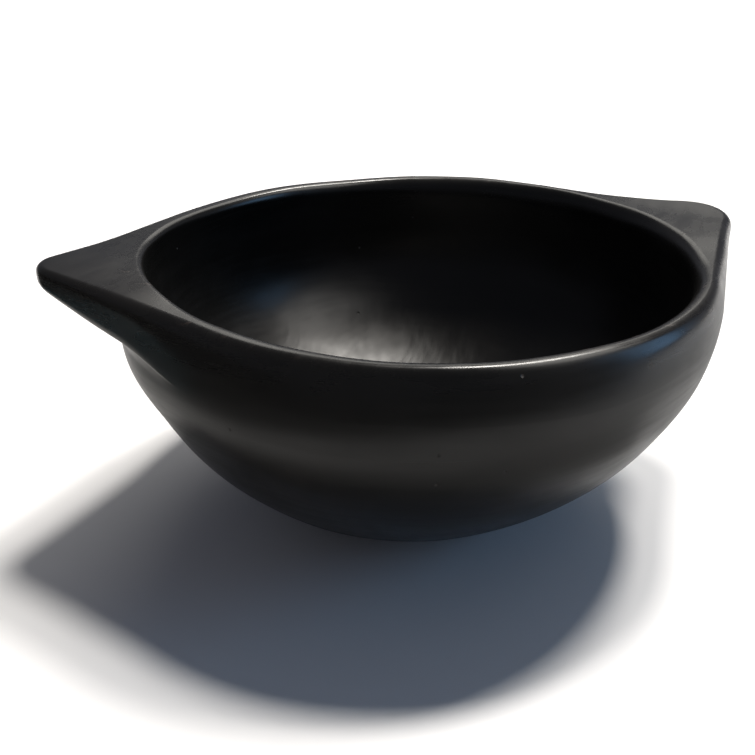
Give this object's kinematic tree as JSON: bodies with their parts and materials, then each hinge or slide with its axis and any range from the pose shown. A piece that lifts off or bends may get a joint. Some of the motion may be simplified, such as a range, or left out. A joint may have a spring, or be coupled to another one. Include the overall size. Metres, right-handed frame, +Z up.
{
  "type": "clay bowl",
  "caption": "Round black burnished clay bowl with a thick rounded rim, a small flat foot and two flat pointed ears level with the rim, for cooking and serving.",
  "frame": {"origin": "middle of the flat foot, on the surface that the bowl stands on", "axes": "+Z up out of the mouth, +X from the middle of the bowl to the tip of the right ear, -Y to the front"},
  "size_m": [0.211, 0.171, 0.08],
  "materials": {
    "burnished_black_clay": "stone-burnished, smoke-blackened, satin"
  },
  "bodies": {
    "root": {"base_slab": "burnished_black_clay", "wall_coil_lower": "burnished_black_clay", "wall_coil_upper": "burnished_black_clay", "rim_coil": "burnished_black_clay", "ear_left": "burnished_black_clay", "ear_right": "burnished_black_clay", "ear_root_coil_left": "burnished_black_clay", "ear_root_coil_right": "burnished_black_clay"}
  },
  "joints": []
}
